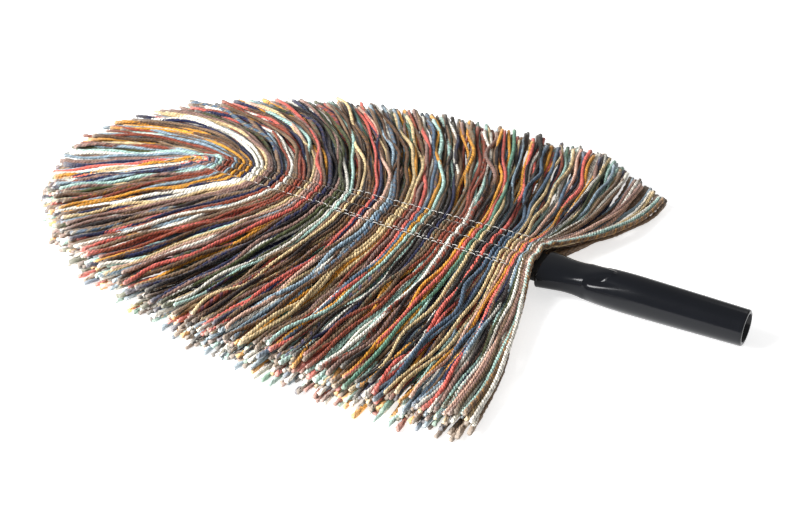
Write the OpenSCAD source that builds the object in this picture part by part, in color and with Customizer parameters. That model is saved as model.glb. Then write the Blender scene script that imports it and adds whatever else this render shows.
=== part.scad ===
// Wedge duster: a washable head of looped wool yarn on a sprung wire frame with a pole socket.
// +X runs along the spine towards the pole, +Z is up and the floor is Z = 0.
// The origin lies on the floor, under the middle of the whole length.

/* [Yarn head] */
// Length of the yarn head, from its nose to its rear corners
head_length = 519; // [430:1:625]
// Width of the yarn head across its rear corners
head_width = 422; // [340:1:505]
// How far the rear corners reach past the socket mouth
corner_reach = 27; // [10:1:45]
// How late the sides start to close towards the nose
side_fullness = 3.5; // [2.4:0.1:4.5]
// How square the nose is, from an ellipse at 2 towards a point at 1
nose_squareness = 1.6; // [1.2:0.05:2]
// Thickness of the upper yarn over the spine
upper_pile = 10; // [9:0.5:20]
// Thickness of the whole pile at its cut edge
edge_pile = 17; // [12:0.5:22]
// Thickness of the lower yarn at its cut edge
edge_lower_pile = 8; // [5:0.5:10]

/* [Sewn spine] */
// Distance from the socket mouth to the rear end of the spine seam
spine_rear_gap = 18; // [16:1:30]
// Distance from the nose to the front end of the spine seam
nose_overhang = 141; // [110:1:170]
// Share of the side edge that the yarn at the rear end of the spine fans out over
rear_fan = 0.12; // [0:0.01:0.2]
// Share of the spine that this fan rises from
rear_fan_root = 0.06; // [0.03:0.01:0.12]
// Distance from the pocket's side to the seam beside it
seam_gap = 2; // [1.5:0.5:3]
// Distance from that seam to the outer seam
outer_seam_gap = 6; // [4:0.5:8]
// Width of the flat band outside the outer seam
band_edge = 6; // [3:0.5:10]
// Length of one stitch
stitch_length = 5; // [3:0.5:6]
// Distance from one stitch to the next
stitch_pitch = 8; // [7:0.5:10]
// Diameter of the sewing thread
thread_d = 1; // [0.6:0.1:1.4]

/* [Frame pocket] */
// Thickness of the backing cloth
cloth_thickness = 1; // [0.6:0.1:1.5]
// Clearance between the wire and the pocket
pocket_clearance = 0.8; // [0.5:0.1:1.5]

/* [Wire frame] */
// Diameter of the spring wire
wire_d = 4; // [3:0.1:5]
// Distance from the wire's middle to the axis at the socket mouth
leg_half_spread = 13; // [10.5:0.1:15.6]
// Radius of the wire's middle at the front bend
bend_radius = 6; // [5:0.5:8]
// Distance from the front bend to the front end of the spine seam
bend_setback = 13; // [8:1:20]
// Depth of the wire's ends in the plug behind the mouth
leg_grip = 13; // [8:1:15]

/* [Plug] */
// Thickness of the plug outside the wire's ends
plug_side_wall = 2; // [1.5:0.1:2.5]
// Thickness of the plug above and below the wire's ends
plug_cover = 4; // [3:0.5:5.5]
// Thickness of the plug behind the wire's ends
plug_end_wall = 3; // [2:0.5:4]
// How far the plug stands out of the mouth
plug_nose = 14; // [8:1:15]
// Clearance between the plug and its seat
plug_clearance = 0.1; // [0.05:0.05:0.3]
// Clearance between the wire's ends and their holes
grip_clearance = 0.05; // [0.02:0.01:0.1]
// Clearance between the plug's nose and the yarn
nose_clearance = 1; // [0.5:0.1:2]
// Gap between the yarn and the mouth's rim
mouth_gap = 3; // [1:0.5:6]
// Gap between the yarn and the mouth's sides
mouth_side_gap = 4; // [2:0.5:8]

/* [Pole socket] */
// Length of the socket from its mouth to its open end
socket_length = 178; // [150:1:210]
// Diameter of the pole bore
pole_bore_d = 24; // [20:0.1:29]
// Depth of the pole bore
pole_bore_depth = 110; // [80:1:112]
// Wall around the bore at the open end
end_wall = 3.5; // [2.5:0.1:5]
// How much wider the barrel is than its open end
barrel_swell = 3.4; // [2:0.1:6]
// Gap between the barrel and the floor
floor_gap = 0.8; // [0.5:0.1:3]
// Radius of the rounded rim at the open end
rim_radius = 1.5; // [0.5:0.1:1.6]
// Wall around the plug at the mouth
mouth_wall = 5.5; // [4:0.1:6.5]
// Width of the waist behind the mouth
waist_width = 30; // [28:0.5:32]
// Height of the waist
waist_height = 23; // [21:0.5:25]
// Distance from the mouth to the waist
waist_place = 40; // [36:1:46]
// Distance from the mouth to the fullest part of the barrel
shoulder_place = 80; // [70:1:95]

/* [Hidden] */
$fn = 64;
nose_reach = head_length - corner_reach;
half_length = (nose_reach + socket_length) / 2;
mouth_x = half_length - socket_length;
spine_front = -(nose_reach - nose_overhang);
spine_rear = -spine_rear_gap;
spine_length = spine_rear - spine_front;

// Socket and plug sizes that follow from the pole and the wire
end_d = pole_bore_d + 2 * end_wall;
barrel_d = end_d + barrel_swell;
plug_width = 2 * (leg_half_spread + wire_d / 2 + plug_side_wall);
plug_height = wire_d + 2 * plug_cover;
plug_depth = leg_grip + plug_end_wall;
mouth_width = plug_width + 2 * mouth_wall;
mouth_height = plug_height + 2 * mouth_wall;

// Height of the wire frame and of the socket's axis above the floor
frame_height = barrel_d / 2 + floor_gap;
pile_top = frame_height + upper_pile;
// Overrun of a cut past the face it cuts
margin = 1;
// Hanks laid across the spine behind the nose hank, as NODES lists them
UPPER_HANKS = 7;
LOWER_HANKS = 5;

// Outermost tip of the yarn that rises from the front end of the spine
front_tip = -(nose_reach - nose_overhang / 2);
fan_radius = 1.15 * nose_overhang;

// Wire frame: legs tangent to the front bend, reaching the spread at the mouth
bend_x = spine_front + bend_setback + bend_radius + wire_d / 2;
leg_hyp = sqrt(leg_half_spread * leg_half_spread + bend_x * bend_x);
leg_angle = acos(bend_radius / leg_hyp) - atan2(-bend_x, leg_half_spread);
leg_start = bend_x - bend_radius * sin(leg_angle);
leg_run = (leg_grip - leg_start) / cos(leg_angle);

// Pocket for the frame, as tapered as the wire, measured to its inner face
pocket_gap = wire_d / 2 + pocket_clearance;
pocket_front = bend_x - bend_radius - pocket_gap;
pocket_rear = -(plug_nose + nose_clearance + margin);
function pocket_half(x) =
    bend_radius * cos(leg_angle) + (x - leg_start) * tan(leg_angle) + pocket_gap;

// Half width of the flat sewn band on top of the spine
band_half_width = pocket_half(spine_rear) + seam_gap + outer_seam_gap + band_edge;

// Outline of the head: half width at x
function outline_y(x) =
    let (t = (corner_reach - x) / head_length)
    head_width / 2 * pow(max(0, 1 - pow(t, side_fullness)), 1 / nose_squareness);

// Place of boundary i of n, counted from the rear: its root on the spine and its tip at the edge
function root_x(i, n) = i == 0 ? 0 : spine_rear - spine_length * i / n;
function edge_share(u) = rear_fan * (1 - exp(-u / rear_fan_root)) + (1 - rear_fan) * u;
function tip_x(i, n) = corner_reach + (front_tip - corner_reach) * edge_share(i / n);

WIRE_SIDES = 16;
BEND_STEPS = 12;
EDGE_STEPS = 6;
NOSE_STEPS = 14;
// Edge points from boundary i to the next one
function edge_points(i, n) =
    [for (k = [0:EDGE_STEPS])
        let (x = tip_x(i + k / EDGE_STEPS, n)) [x, outline_y(x)]];
// Edge points from the last boundary to the nose
function nose_points() =
    [for (k = [0:NOSE_STEPS])
        let (x = front_tip - (nose_reach + front_tip) * sin(90 * k / NOSE_STEPS))
        [x, k == NOSE_STEPS ? 0 : outline_y(x)]];
function mirrored(points) =
    [for (k = [len(points) - 1:-1:0]) [points[k][0], -points[k][1]]];

// ---- Helpers ----

// A bar with round sides, lying along X
module oval_bar(width, height, x0, x1) {
    r = height / 2;
    for (side = [-1, 1])
        translate([x0, side * (width / 2 - r), frame_height])
            rotate([0, 90, 0]) cylinder(r = r, h = x1 - x0);
    translate([x0, -(width / 2 - r), frame_height - r])
        cube([x1 - x0, width - height, height]);
}

// A round bar along the wire's leg on one side, as thick as asked
module wire_leg(side, d) {
    translate([leg_start, side * bend_radius * cos(leg_angle), frame_height])
        rotate([0, 0, side * leg_angle])
            rotate([0, 90, 0]) cylinder(d = d, h = leg_run);
}

// Plan of the pocket; grow = 0 is its inside
module pocket_plan(grow, x_end) {
    front = pocket_front - grow;
    polygon([
        [front, -pocket_half(pocket_front) - grow],
        [x_end, -pocket_half(x_end) - grow],
        [x_end, pocket_half(x_end) + grow],
        [front, pocket_half(pocket_front) + grow]
    ]);
}

// Room that the yarn leaves for the cloth pocket and the plug's nose
module spine_room() {
    pocket_height = wire_d + 2 * (pocket_clearance + cloth_thickness);
    translate([0, 0, frame_height - pocket_height / 2])
        linear_extrude(pocket_height) pocket_plan(cloth_thickness, pocket_rear);
    room = [corner_reach - pocket_rear, plug_width + 2 * nose_clearance,
            plug_height + 2 * nose_clearance];
    translate([pocket_rear, -room[1] / 2, frame_height - room[2] / 2]) cube(room);
}

// Section of the pile across the spine, from one height to another, seen along X
module pile_section(z_spine_0, z_edge_0, z_spine_1, z_edge_1) {
    w = head_width / 2 + margin;
    b = band_half_width;
    rotate([90, 0, 90]) translate([0, 0, -nose_reach - margin])
        linear_extrude(head_length + 2 * margin)
            polygon([
                [-w, z_edge_0], [-b, z_spine_0], [b, z_spine_0], [w, z_edge_0],
                [w, z_edge_1], [b, z_spine_1], [-b, z_spine_1], [-w, z_edge_1]
            ]);
}

// The same section turned round the front end of the spine, for the nose
module nose_section(z_spine_0, z_edge_0, z_spine_1, z_edge_1) {
    translate([spine_front, 0, 0]) rotate_extrude()
        polygon([[0, z_spine_0], [fan_radius, z_edge_0], [fan_radius, z_edge_1], [0, z_spine_1]]);
}

// Plan of hank i of n: a chevron from edge to edge across the spine
module hank_plan(i, n) {
    side = edge_points(i, n);
    rear_neck = [root_x(i, n), 0];
    front_neck = [root_x(i + 1, n), 0];
    polygon(concat([rear_neck], side, [front_neck], mirrored(side)));
}

module nose_plan() {
    side = nose_points();
    polygon(concat([[spine_front, 0]], side, mirrored(side)));
}

// Room behind the rear edge, so that the yarn ends short of the socket mouth
module mouth_room() {
    half = mouth_width / 2 + mouth_side_gap;
    translate([-mouth_gap, -half, 0]) cube([corner_reach * 2, half * 2, pile_top * 2]);
}

// ---- Yarn ----

module upper_hank(i) {
    difference() {
        intersection() {
            linear_extrude(pile_top + margin) hank_plan(i - 1, UPPER_HANKS);
            pile_section(frame_height, edge_lower_pile, pile_top, edge_pile);
        }
        spine_room();
        mouth_room();
    }
}

module lower_hank(i) {
    difference() {
        intersection() {
            linear_extrude(pile_top + margin) hank_plan(i - 1, LOWER_HANKS);
            pile_section(0, 0, frame_height, edge_lower_pile);
        }
        spine_room();
        mouth_room();
    }
}

module upper_nose_hank() {
    color("tan") intersection() {
        linear_extrude(pile_top + margin) nose_plan();
        nose_section(frame_height, edge_lower_pile, pile_top, edge_pile);
    }
}

module lower_nose_hank() {
    color("rosybrown") intersection() {
        linear_extrude(pile_top + margin) nose_plan();
        nose_section(0, 0, frame_height, edge_lower_pile);
    }
}

UPPER_COLOURS = ["rosybrown", "tan", "lightsteelblue", "peru", "palevioletred",
                 "darkseagreen", "dimgray"];
module placed_upper_hank(i) {
    color(UPPER_COLOURS[(i - 1) % len(UPPER_COLOURS)]) upper_hank(i);
}
module placed_lower_hank(i) {
    color(UPPER_COLOURS[(i + 2) % len(UPPER_COLOURS)]) lower_hank(i);
}

// ---- Cloth pocket ----

// One half of the pocket: a flat cloth with its edges turned towards the middle
module backing_half(up) {
    rise = wire_d / 2 + pocket_clearance;
    translate([0, 0, frame_height]) mirror([0, 0, up ? 0 : 1]) difference() {
        linear_extrude(rise + cloth_thickness) pocket_plan(cloth_thickness, pocket_rear);
        translate([0, 0, -margin]) linear_extrude(rise + margin)
            pocket_plan(0, pocket_rear + margin);
    }
}

module upper_backing() {
    color("beige") backing_half(true);
}

module lower_backing() {
    color("beige") backing_half(false);
}

// ---- Seams ----

// A row of stitches on top of the band, from one point to another
module stitch_row(x0, y0, x1, y1) {
    run = sqrt((x1 - x0) * (x1 - x0) + (y1 - y0) * (y1 - y0));
    count = floor((run - stitch_length) / stitch_pitch);
    color("whitesmoke") translate([x0, y0, pile_top]) rotate([0, 0, atan2(y1 - y0, x1 - x0)])
        for (k = [0:count])
            translate([k * stitch_pitch, -thread_d / 2, 0])
                cube([stitch_length, thread_d, thread_d]);
}

// A side row follows the pocket's side at the distance asked
module side_row(side, x0, gap) {
    stitch_row(x0, side * (pocket_half(x0) + gap),
               spine_rear, side * (pocket_half(spine_rear) + gap));
}

outer_row_start = spine_front + spine_length * 0.45;
module seam_centre() stitch_row(spine_front, 0, spine_rear, 0);
module seam_left() side_row(1, pocket_front, seam_gap);
module seam_right() side_row(-1, pocket_front, seam_gap);
module seam_left_outer() side_row(1, outer_row_start, seam_gap + outer_seam_gap);
module seam_right_outer() side_row(-1, outer_row_start, seam_gap + outer_seam_gap);

// ---- Wire frame and plug ----

// One bent wire, swept along its two legs and the front bend between them
module wire_frame() {
    turns = [for (k = [0:BEND_STEPS])
        90 + leg_angle + (180 - 2 * leg_angle) * k / BEND_STEPS];
    bend = [for (t = turns) [bend_x + bend_radius * cos(t), bend_radius * sin(t), t]];
    grip_y = bend_radius * cos(leg_angle) + (leg_grip - leg_start) * tan(leg_angle);
    rings = concat([[leg_grip, grip_y, turns[0]]], bend, [[leg_grip, -grip_y, turns[BEND_STEPS]]]);
    last = (len(rings) - 1) * WIRE_SIDES;
    points = [for (p = rings) for (j = [0:WIRE_SIDES - 1])
        let (a = 360 * j / WIRE_SIDES, r = wire_d / 2)
        [p[0] + r * cos(a) * cos(p[2]), p[1] + r * cos(a) * sin(p[2]), frame_height + r * sin(a)]];
    walls = [for (i = [0:len(rings) - 2]) for (j = [0:WIRE_SIDES - 1])
        let (a = i * WIRE_SIDES, k = (j + 1) % WIRE_SIDES)
        [a + j, a + WIRE_SIDES + j, a + WIRE_SIDES + k, a + k]];
    color("silver") polyhedron(points, concat(
        [[for (j = [0:WIRE_SIDES - 1]) j]],
        walls,
        [[for (j = [0:WIRE_SIDES - 1]) last + WIRE_SIDES - 1 - j]]));
}

module frame_plug() {
    color("dimgray") difference() {
        oval_bar(plug_width, plug_height, -plug_nose, plug_depth);
        for (side = [-1, 1]) wire_leg(side, wire_d + 2 * grip_clearance);
    }
}

// ---- Pole socket ----

// Thin oval slice across the axis, for the hulls of the mouth
module slice(x, width, height) {
    $fn = 32;
    slice_thickness = 0.5;
    oval_bar(width, height, x, x + slice_thickness);
}

// Outer shape of the barrel: it swells behind the waist and tapers to a rounded rim
module barrel() {
    waist_r = min(waist_width, waist_height) / 2;
    r_end = end_d / 2;
    r_max = barrel_d / 2;
    swell = shoulder_place - waist_place;
    translate([0, 0, frame_height]) rotate([0, 90, 0]) rotate_extrude()
        polygon(concat(
            [[0, waist_place]],
            [for (k = [0:8])
                [waist_r + (r_max - waist_r) * sin(90 * k / 8), waist_place + swell * k / 8]],
            [[r_end, socket_length - rim_radius]],
            [for (k = [1:4])
                [r_end - rim_radius * (1 - cos(22.5 * k)),
                 socket_length - rim_radius * (1 - sin(22.5 * k))]],
            [[0, socket_length]]
        ));
}

module pole_socket() {
    color("black") difference() {
        union() {
            barrel();
            hull() {
                slice(0, mouth_width, mouth_height);
                slice(waist_place, waist_width, waist_height);
            }
            hull() {
                slice(waist_place, waist_width, waist_height);
                slice(shoulder_place, waist_height, waist_height);
            }
        }
        oval_bar(plug_width + 2 * plug_clearance, plug_height + 2 * plug_clearance,
                 -margin, plug_depth);
        translate([socket_length - pole_bore_depth, 0, frame_height])
            rotate([0, 90, 0]) cylinder(d = pole_bore_d, h = pole_bore_depth + margin);
    }
}

// ---- The whole duster ----

translate([mouth_x, 0, 0]) {
    pole_socket();
    frame_plug();
    wire_frame();
    upper_backing();
    lower_backing();
    for (i = [1:UPPER_HANKS])
        placed_upper_hank(i);
    upper_nose_hank();
    for (i = [1:LOWER_HANKS])
        placed_lower_hank(i);
    lower_nose_hank();
    seam_centre();
    seam_left();
    seam_right();
    seam_left_outer();
    seam_right_outer();
}
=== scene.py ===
"""Wedge yarn duster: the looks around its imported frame.

The yarn is a set of strands that cross the spine and hang to the edge on both sides.
Every strand is a twisted tube carried along a path that is worked out from the frame.
"""
import math

import bpy
import numpy as np
from bpy.props import (EnumProperty, FloatProperty, FloatVectorProperty, IntProperty,
                       PointerProperty)
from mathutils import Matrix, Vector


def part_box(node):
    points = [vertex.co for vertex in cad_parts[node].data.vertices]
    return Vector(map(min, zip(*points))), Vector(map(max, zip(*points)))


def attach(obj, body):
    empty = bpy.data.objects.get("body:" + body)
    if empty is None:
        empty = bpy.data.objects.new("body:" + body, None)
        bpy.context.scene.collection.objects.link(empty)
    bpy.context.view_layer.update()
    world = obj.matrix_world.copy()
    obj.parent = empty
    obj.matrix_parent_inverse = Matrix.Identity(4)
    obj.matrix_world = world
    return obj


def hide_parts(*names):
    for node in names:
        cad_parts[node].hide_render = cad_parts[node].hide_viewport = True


bl_info = {
    "name": "Wedge Yarn Duster",
    "version": (1, 0, 0),
    "blender": (4, 5, 0),
    "location": "View3D > Sidebar > Duster",
    "description": "Builds a sewn yarn duster head on a wire frame with a pole socket",
    "category": "Add Mesh",
}

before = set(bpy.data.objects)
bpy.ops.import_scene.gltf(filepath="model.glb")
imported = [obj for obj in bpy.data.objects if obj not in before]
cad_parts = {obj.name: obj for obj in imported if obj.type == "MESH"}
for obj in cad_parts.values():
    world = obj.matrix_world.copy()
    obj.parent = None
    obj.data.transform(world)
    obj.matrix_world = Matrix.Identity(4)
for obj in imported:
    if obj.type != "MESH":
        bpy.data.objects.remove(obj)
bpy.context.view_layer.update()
MM = 0.001
LOWEST = 0.15 * MM          # least height of a strand's points
LOWEST_FIBRE = 0.2 * MM     # least height of a loose fibre's points

# Places that the frame fixes, in metres
SOCKET_LOW, SOCKET_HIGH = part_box("pole_socket")
PLUG_LOW, PLUG_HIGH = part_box("frame_plug")
WIRE_LOW, WIRE_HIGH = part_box("wire_frame")
SEAM_LOW, SEAM_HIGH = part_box("seam_centre")
SIDE_SEAM_LOW, SIDE_SEAM_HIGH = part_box("seam_left")
POCKET_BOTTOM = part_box("lower_backing")[0].z
REAR_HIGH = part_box("upper_hank_1")[1]
MOUTH_X = SOCKET_LOW.x
AXIS_Z = (PLUG_LOW.z + PLUG_HIGH.z) / 2
SPINE_FRONT = SEAM_LOW.x
SPINE_REAR = SEAM_HIGH.x
NOSE_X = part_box("upper_nose_hank")[0].x
CORNER_X = REAR_HIGH.x
HALF_WIDTH = REAR_HIGH.y
BAND_Z = SEAM_LOW.z

UPPER_HANKS = [f"upper_hank_{i}" for i in range(1, 8)] + ["upper_nose_hank"]
LOWER_HANKS = [f"lower_hank_{i}" for i in range(1, 6)] + ["lower_nose_hank"]


# ---------------------------------------------------------------- user's sizes and colours

class YarnSettings(bpy.types.PropertyGroup):
    """How the yarn is spun, laid and dyed."""
    strand_radius: FloatProperty(
        name="Strand radius", description="Radius of one twisted strand",
        default=1.78 * MM, unit="LENGTH")
    twist_pitch: FloatProperty(
        name="Twist pitch", description="Length of one full turn of the plies",
        default=10 * MM, unit="LENGTH")
    strands: IntProperty(
        name="Strands", description="Strands that cross the spine in each layer", default=92)
    side_fullness: FloatProperty(
        name="Side fullness", description="How late the sides start to close towards the nose",
        default=3.5)
    nose_squareness: FloatProperty(
        name="Nose squareness", description="How square the nose is", default=1.6)
    edge_height: FloatProperty(
        name="Edge height", description="Height of the upper yarn at its cut edge",
        default=15 * MM, unit="LENGTH")
    hump: FloatProperty(
        name="Hump", description="Height of the puffed yarn between two seams",
        default=3.4 * MM, unit="LENGTH")
    sway: FloatProperty(
        name="Sway", description="Sideways wander that neighbours share", default=1.6 * MM,
        unit="LENGTH")
    fibres: IntProperty(
        name="Loose fibres", description="Loose fibres on each strand of the upper yarn",
        default=90)
    fibre_radius: FloatProperty(
        name="Fibre radius", description="Radius of a loose fibre at its root",
        default=0.1 * MM, unit="LENGTH")
    uneven: FloatProperty(
        name="Uneven ends", description="Spread of the strands' lengths, as a share",
        default=0.022)
    seed: IntProperty(name="Seed", description="Start of the random numbers", default=31)


class SocketSettings(bpy.types.PropertyGroup):
    """The moulded socket's own shape, where the frame leaves it free."""
    mouth_half_width: FloatProperty(
        name="Mouth half width", description="Half the width of the flat mouth",
        default=22.5 * MM, unit="LENGTH")
    mouth_half_height: FloatProperty(
        name="Mouth half height", description="Half the height of the flat mouth",
        default=11.5 * MM, unit="LENGTH")
    waist_place: FloatProperty(
        name="Waist place", description="Distance from the mouth to the waist",
        default=40 * MM, unit="LENGTH")
    bore_radius: FloatProperty(
        name="Bore radius", description="Radius of the pole bore", default=12 * MM,
        unit="LENGTH")
    bore_depth: FloatProperty(
        name="Bore depth", description="Depth of the pole bore", default=110 * MM,
        unit="LENGTH")
    colour: FloatVectorProperty(
        name="Colour", description="Colour of the moulded plastic", subtype="COLOR",
        default=(0.0042, 0.005, 0.0072))


class SeamSettings(bpy.types.PropertyGroup):
    """The sewing thread."""
    thread_radius: FloatProperty(
        name="Thread radius", description="Radius of the sewing thread",
        default=0.3 * MM, unit="LENGTH")
    stitch_length: FloatProperty(
        name="Stitch length", description="Length of one stitch", default=5.4 * MM,
        unit="LENGTH")
    stitch_pitch: FloatProperty(
        name="Stitch pitch", description="Distance from one stitch to the next",
        default=7.4 * MM, unit="LENGTH")
    seed: IntProperty(
        name="Seed", description="Start of the stitches' random numbers", default=21)
    colour: FloatVectorProperty(
        name="Colour", description="Colour of the sewing thread", subtype="COLOR",
        default=(0.8, 0.79, 0.75))


class StageSettings(bpy.types.PropertyGroup):
    """Floor, light and camera."""
    lens: FloatProperty(name="Lens", description="Focal length in millimetres", default=67.8)
    azimuth: FloatProperty(
        name="Azimuth", description="Compass angle of the view", default=math.radians(28.25),
        subtype="ANGLE")
    elevation: FloatProperty(
        name="Elevation", description="Angle of the view above the floor",
        default=math.radians(34.8), subtype="ANGLE")
    distance: FloatProperty(
        name="Distance", description="Distance from the camera to its aim",
        default=1.294, unit="LENGTH")
    aim: FloatVectorProperty(
        name="Aim", description="Point that the camera looks at, from below the socket's mouth",
        default=(-112.6 * MM, -50.4 * MM, 15 * MM), subtype="TRANSLATION", unit="LENGTH")
    floor_size: FloatProperty(
        name="Floor size", description="Length of each side of the floor", default=12.0,
        unit="LENGTH")
    floor_colour: FloatVectorProperty(
        name="Floor colour", description="Colour of the floor", subtype="COLOR",
        default=(0.9, 0.9, 0.9))


# Lamps as (name, place, power in watts, size)
LAMPS = (
    ("key", (-0.85, -0.95, 1.02), 40.0, 0.8),
    ("side", (-1.25, -1.15, 0.5), 26.0, 0.45),
    ("rim", (0.3, 1.5, 1.3), 1.0, 0.6),
)
SKY_STRENGTH = 0.34
PLUG_BLACK = (0.02, 0.019, 0.018)

# Dyes of the yarn as (share of the strands, red, green, blue in display values)
DYES = (
    (14, 0.51, 0.41, 0.32),    # taupe
    (15, 0.93, 0.91, 0.86),    # cream
    (7, 0.55, 0.43, 0.39),     # mauve
    (10, 0.87, 0.61, 0.23),    # mustard
    (8, 0.17, 0.18, 0.30),     # navy
    (10, 0.83, 0.73, 0.55),    # sand
    (8, 0.54, 0.62, 0.67),     # sky
    (9, 0.38, 0.28, 0.21),     # umber
    (6, 0.86, 0.42, 0.37),     # coral
    (8, 0.66, 0.79, 0.75),     # mint
    (5, 0.55, 0.28, 0.21),     # rust
    (8, 0.16, 0.13, 0.13),     # charcoal
    (4, 0.34, 0.42, 0.50),     # steel
    (3, 0.82, 0.66, 0.58),     # rose
    (5, 0.29, 0.31, 0.20),     # forest
    (3, 0.38, 0.55, 0.47),     # jade
)


def linear(display):
    """Linear colour of display values: ((c + 0.055) / 1.055) ** 2.4, or c / 12.92 when dark."""
    c = np.asarray(display, float)
    return np.where(c <= 0.04045, c / 12.92, ((c + 0.055) / 1.055) ** 2.4)


# ---------------------------------------------------------------- shader expressions

class Value:
    """A shader socket that can be used in an expression of Math nodes."""

    def __init__(self, maker, socket):
        self.maker, self.socket = maker, socket

    def math(self, operation, other=0.0):
        """A Math node on this value and another one."""
        return self.maker.node("ShaderNodeMath", {"operation": operation}, {0: self, 1: other})

    def __add__(self, other):
        return self.math("ADD", other)

    def __sub__(self, other):
        return self.math("SUBTRACT", other)

    def __rsub__(self, other):
        return self * -1 + other

    def __mul__(self, other):
        return self.math("MULTIPLY", other)

    __radd__, __rmul__ = __add__, __mul__

    def sine(self):
        return self.math("SINE")

    def clamp(self, low, high):
        return self.math("MAXIMUM", low).math("MINIMUM", high)


class Maker:
    """Makes one material's nodes."""

    def __init__(self, name):
        self.material = bpy.data.materials.new(name)
        self.material.use_nodes = True
        self.tree = self.material.node_tree
        self.tree.nodes.clear()

    def node(self, kind, settings=None, sockets=None, out=0):
        """Adds a node: settings first, then the values or links of its sockets."""
        made = self.tree.nodes.new(kind)
        for name, setting in (settings or {}).items():
            setattr(made, name, setting)
        for name, value in (sockets or {}).items():
            if isinstance(value, Value):
                self.tree.links.new(value.socket, made.inputs[name])
            else:
                made.inputs[name].default_value = value
        return Value(self, made.outputs[out]) if made.outputs else None

    def mix(self, factor, a, b, blend="MIX"):
        """Mixes two colours."""
        return self.node("ShaderNodeMix", {"data_type": "RGBA", "blend_type": blend},
                         {0: factor, 6: a, 7: b}, out=2)

    def noise(self, vector, scale, detail=2.0, roughness=0.5):
        """Noise from 0 to 1 with a number of lumps per metre."""
        return self.node("ShaderNodeTexNoise", {},
                         {"Vector": vector, "Scale": scale, "Detail": detail,
                          "Roughness": roughness})

    def place(self, scale=(1, 1, 1), source="Object"):
        """Object coordinates, or a UV map's, stretched by scale."""
        if source == "Object":
            vector = self.node("ShaderNodeTexCoord", out=3)
        else:
            vector = self.node("ShaderNodeUVMap", {"uv_map": source})
        return self.node("ShaderNodeMapping", {}, {"Vector": vector, "Scale": scale})

    def part(self, vector, axis):
        """One coordinate of a vector."""
        return self.node("ShaderNodeSeparateXYZ", {}, {0: vector}, out=axis)

    def times(self, colour, level):
        """A colour made darker or brighter by a level."""
        grey = self.node("ShaderNodeCombineColor", {}, {0: level, 1: level, 2: level})
        return self.mix(1.0, colour, grey, "MULTIPLY")

    def bump(self, height, distance, strength=1.0):
        """Normals from a height of 0 to 1, over a distance in metres."""
        return self.node("ShaderNodeBump", {},
                         {"Height": height, "Distance": distance, "Strength": strength})

    def surface(self, sockets):
        """Ends the material in one shader and returns it."""
        shader = self.node("ShaderNodeBsdfPrincipled", {}, sockets)
        self.node("ShaderNodeOutputMaterial", {}, {"Surface": shader})
        return self.material


def yarn_material():
    """Dyed wool: each strand's dye, flecked along the twist, with painted shade between the plies.
    """
    m = Maker("dyed_wool")
    dye = m.node("ShaderNodeAttribute", {"attribute_name": "dye"})
    ply = m.node("ShaderNodeAttribute", {"attribute_name": "ply"}, out=2)
    fray_and_painted_light = m.node("ShaderNodeAttribute", {"attribute_name": "fray_and_painted_light"}, out=2)
    along = m.place((14.0, 700.0, 1.0), "strand")
    streaks = m.noise(along, 1.0, 3.0, 0.6)
    patches = m.noise(m.place(), 55.0, 2.0)
    fibres = m.noise(m.place(), 900.0, 3.0, 0.75)
    lumps = m.noise(m.place(), 330.0, 2.0, 0.6)
    # painted shade: darker in the grooves between the plies, lighter on their crests
    groove_shade = 0.38 + ply * 0.78 * (0.5 + fibres)
    uneven = (streaks - 0.5) * 0.9 + (patches - 0.5) * 0.4 + (lumps - 0.5) * 0.9
    shade = (groove_shade + uneven + (fibres - 0.5) * 1.3 + fray_and_painted_light * 0.3).clamp(0.12, 1.7)
    # the cut ends are paler: partly their fluffed fibres, partly painted light that lifts them out
    # of their shade
    shade = shade * (1 - fray_and_painted_light * 0.6) + fray_and_painted_light * 0.66
    colour = m.times(dye, shade)
    pale = m.mix(0.6, colour, (0.78, 0.74, 0.67, 1))
    colour = m.mix((fray_and_painted_light * 0.6 + (fibres - 0.54) * 1.2).clamp(0.0, 0.75), colour, pale)
    normal = m.bump(streaks * 0.5 + fibres * 0.5, 0.0009, 0.8)
    return m.surface({"Base Color": colour, "Roughness": 1.0, "Specular IOR Level": 0.06,
                      "Sheen Weight": 0.25, "Sheen Roughness": 0.4, "Normal": normal})


def plastic_material(name, colour, roughness, grain, depth):
    """Moulded plastic: a fine grain, faint flow streaks along the part and handling wear."""
    m = Maker(name)
    grain_noise = m.noise(m.place(), grain, 3.0, 0.6)
    flow = m.noise(m.place((6.0, 60.0, 60.0)), 1.0, 3.0)
    smudges = m.noise(m.place(), 35.0, 4.0, 0.65)
    tint = (0.8 + flow * 0.25 + smudges * 0.2).clamp(0.6, 1.4)
    base = m.times((*colour, 1), tint)
    rough = (roughness + (smudges - 0.5) * 0.16 + (flow - 0.5) * 0.08).clamp(0.05, 0.95)
    return m.surface({"Base Color": base, "Roughness": rough, "Specular IOR Level": 0.3,
                      "Normal": m.bump(grain_noise, depth, 0.6)})


def steel_material():
    """Drawn spring wire: fine lines along its length and small dark flecks."""
    m = Maker("drawn_wire")
    lines = m.noise(m.place((30.0, 2200.0, 2200.0)), 1.0, 2.0)
    flecks = m.noise(m.place(), 400.0, 3.0)
    colour = m.mix((flecks - 0.45).clamp(0.0, 1.0) * 2.0, (0.24, 0.24, 0.245, 1),
                   (0.11, 0.105, 0.1, 1))
    return m.surface({"Base Color": colour, "Metallic": 1.0,
                      "Roughness": (0.26 + lines * 0.22 + flecks * 0.1).clamp(0.1, 0.9),
                      "Normal": m.bump(lines, 0.0001, 0.5)})


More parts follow.
